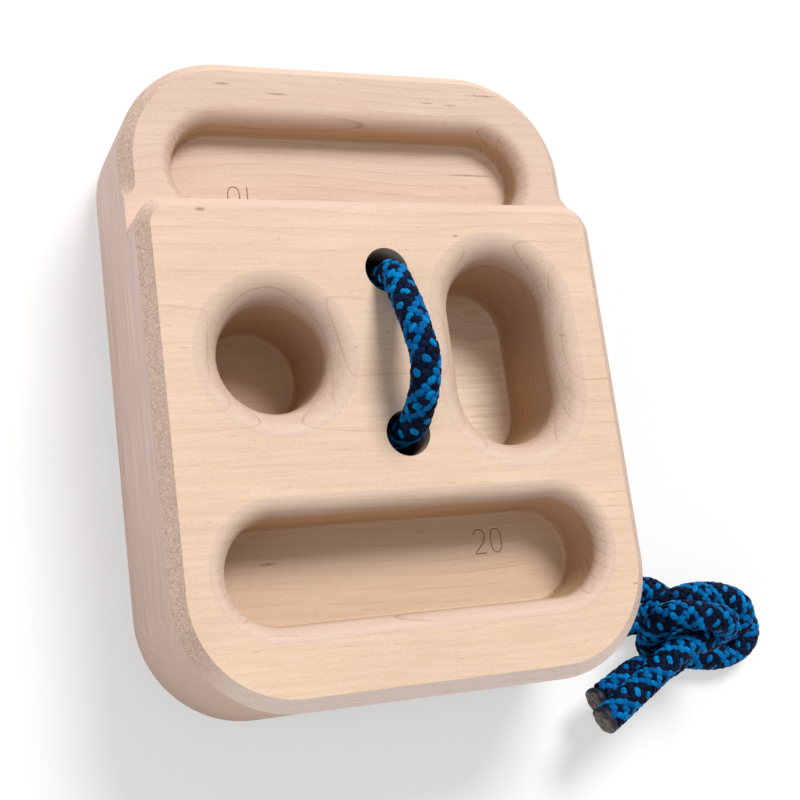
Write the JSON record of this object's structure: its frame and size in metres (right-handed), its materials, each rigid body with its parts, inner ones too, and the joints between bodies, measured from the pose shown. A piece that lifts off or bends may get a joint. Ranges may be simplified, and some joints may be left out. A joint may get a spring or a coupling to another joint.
{
  "type": "portable hang block",
  "caption": "Wooden hand grip block with rounded finger pockets and stepped edge grips, hung by a knotted loop of braided rope through the middle of the block.",
  "frame": {"origin": "on the table, below the middle of the block's outline", "axes": "+Z out of the grips, square to the block's front face; +Y along the block's height, towards the thin upper edge with the shallow grip; +X to the side of the tall pocket"},
  "size_m": [0.2135, 0.2059, 0.0779],
  "materials": {
    "maple": "bare sanded wood",
    "blue_rope": "braided, azure and navy",
    "melted_rope": "melted and set rope fibre"
  },
  "bodies": {
    "root": {"wood_block": "maple", "rope_loop": "blue_rope", "front_strand": "blue_rope", "rear_strand": "blue_rope", "front_sealed_end": "melted_rope", "rear_sealed_end": "melted_rope"}
  },
  "joints": []
}
